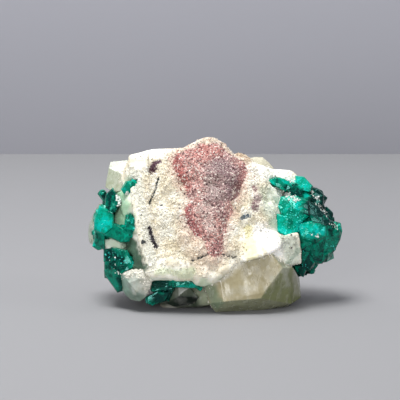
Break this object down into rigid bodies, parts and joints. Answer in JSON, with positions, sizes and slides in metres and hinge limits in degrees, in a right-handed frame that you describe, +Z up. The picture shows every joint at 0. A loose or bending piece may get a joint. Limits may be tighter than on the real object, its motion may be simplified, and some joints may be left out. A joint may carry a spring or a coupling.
{
  "type": "dioptase mineral specimen",
  "caption": "Mineral specimen: green glassy dioptase crystals on a white calcite block with a sandy red crust and cloudy calcite crystals, standing on a flat base.",
  "frame": {"origin": "middle of the bounding box's underside, on the table", "axes": "+Z up, +X to the viewer's right, -Y towards the viewer, who looks down by 10 degrees"},
  "size_m": [0.0459, 0.0276, 0.029],
  "materials": {
    "white_calcite": "matt, sandy and crumbly in front, smooth on the rim",
    "red_druse": "matt granular crust with fine glints",
    "greenish_calcite": "cloudy, see-through, satin cleavage faces",
    "pale_calcite": "cloudy, see-through",
    "grey_calcite": "cloudy, see-through, satin",
    "olive_calcite": "dark, see-through",
    "bright_dioptase": "glassy crystal faces",
    "dark_dioptase": "glassy crystal faces, dark"
  },
  "bodies": {
    "root": {"calcite_matrix": "white_calcite", "red_druse_crust": "red_druse", "lower_right_calcite_crystal": "greenish_calcite", "upper_left_calcite_crystal": "pale_calcite", "far_left_calcite_crystal": "pale_calcite", "upper_right_calcite_crystal": "pale_calcite", "lower_left_calcite_crystal": "grey_calcite", "under_calcite_crystal": "olive_calcite", "left_dioptase_cluster": "bright_dioptase", "upper_left_dioptase_crystal": "bright_dioptase", "right_dioptase_cluster": "bright_dioptase", "lower_left_dioptase_cluster": "dark_dioptase", "lower_dioptase_seam": "dark_dioptase"}
  },
  "joints": []
}
